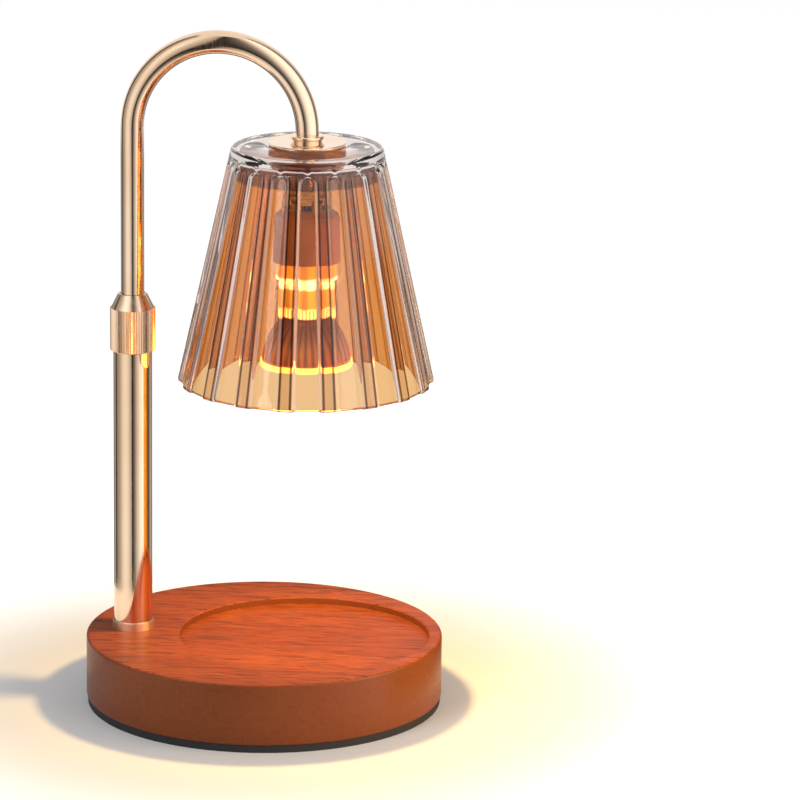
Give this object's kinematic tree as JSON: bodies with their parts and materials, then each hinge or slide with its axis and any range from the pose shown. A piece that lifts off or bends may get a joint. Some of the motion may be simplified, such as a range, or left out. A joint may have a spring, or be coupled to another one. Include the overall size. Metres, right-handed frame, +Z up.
{
  "type": "candle warmer lamp",
  "caption": "Table lamp that melts a jar candle from above: round wood base with a recess, gold post, sliding and swivelling gooseneck arm, fluted glass shade with a reflector bulb.",
  "frame": {"origin": "bottom centre of the round base", "axes": "+Z up; +X from the post towards the shade, so y = 0 is the plane through the post and the shade's axis"},
  "size_m": [0.185, 0.185, 0.3535],
  "materials": {
    "wood": "satin reddish-brown stained wood",
    "pad_foam": "matte black closed-cell foam",
    "gold_metal": "polished champagne-gold plating",
    "brass": "turned brass",
    "steel": "bright zinc-plated steel",
    "black_metal": "dark enamel",
    "black_nylon": "moulded black nylon",
    "white_nylon": "natural nylon",
    "silicone": "translucent brown silicone",
    "amber_glass": "smoky amber pressed glass",
    "bulb_glass": "clear glass",
    "ceramic": "white glazed ceramic",
    "filament": "glowing tungsten",
    "cable_sheath": "black insulation",
    "red_insulation": "red-brown insulation"
  },
  "bodies": {
    "base": {"base_pad": "pad_foam", "base_block": "wood", "cord_bushing": "black_nylon", "cavity_cover": "black_nylon", "cover_screws": "steel", "terminal_block": "white_nylon", "post_collar": "gold_metal", "post_tube": "gold_metal", "post_plug": "steel", "post_stud": "steel", "stud_washer": "steel", "stud_nut": "steel", "post_top_bush": "brass", "collet": "white_nylon"},
    "clamp_ring": {"thrust_ring": "white_nylon"},
    "clamp_nut": {"clamp_nut": "gold_metal"},
    "guide": {"guide_bush": "black_nylon"},
    "arm": {"arm_tube": "gold_metal", "retaining_clip": "steel", "ring_nut": "gold_metal", "shade_plate": "gold_metal", "upper_gasket": "silicone", "glass_shade": "amber_glass", "lower_gasket": "silicone", "lower_washer": "gold_metal", "lock_nut": "steel", "nipple": "steel", "holder_bracket": "steel", "bracket_nuts": "steel", "bracket_screws": "steel", "holder_cup": "black_metal", "holder_ceramic": "ceramic", "holder_contacts": "brass", "holder_wire_red": "red_insulation", "holder_wire_black": "cable_sheath"},
    "bulb": {"bulb_reflector": "bulb_glass", "bulb_lens": "bulb_glass", "bulb_cap": "ceramic", "bulb_pins": "steel", "bulb_capsule": "bulb_glass", "bulb_filament": "filament"}
  },
  "joints": [
    {"name": "nut_lift", "type": "slide", "parent": "base", "child": "clamp_ring", "axis": [0, 0, 1], "range_m": [0, 0.0015]},
    {"name": "nut_turn", "type": "hinge", "parent": "clamp_ring", "child": "clamp_nut", "pos_m": [-0.069, 0, 0.2], "axis": [0, 0, 1], "range_deg": [0, 540]},
    {"name": "height_slide", "type": "slide", "parent": "base", "child": "guide", "axis": [0, 0, 1], "range_m": [-0.075, 0.015]},
    {"name": "arm_swivel", "type": "hinge", "parent": "guide", "child": "arm", "pos_m": [-0.069, 0, 0.2], "axis": [0, 0, 1], "range_deg": [-180, 180]},
    {"name": "bulb_twist", "type": "hinge", "parent": "arm", "child": "bulb", "pos_m": [0.021, 0, 0.205], "axis": [0, 0, 1], "range_deg": [-40, 0]}
  ],
  "couplings": [
    {"joint": "nut_lift", "follows": "nut_turn", "m_per_rad": 0.00015915}
  ]
}
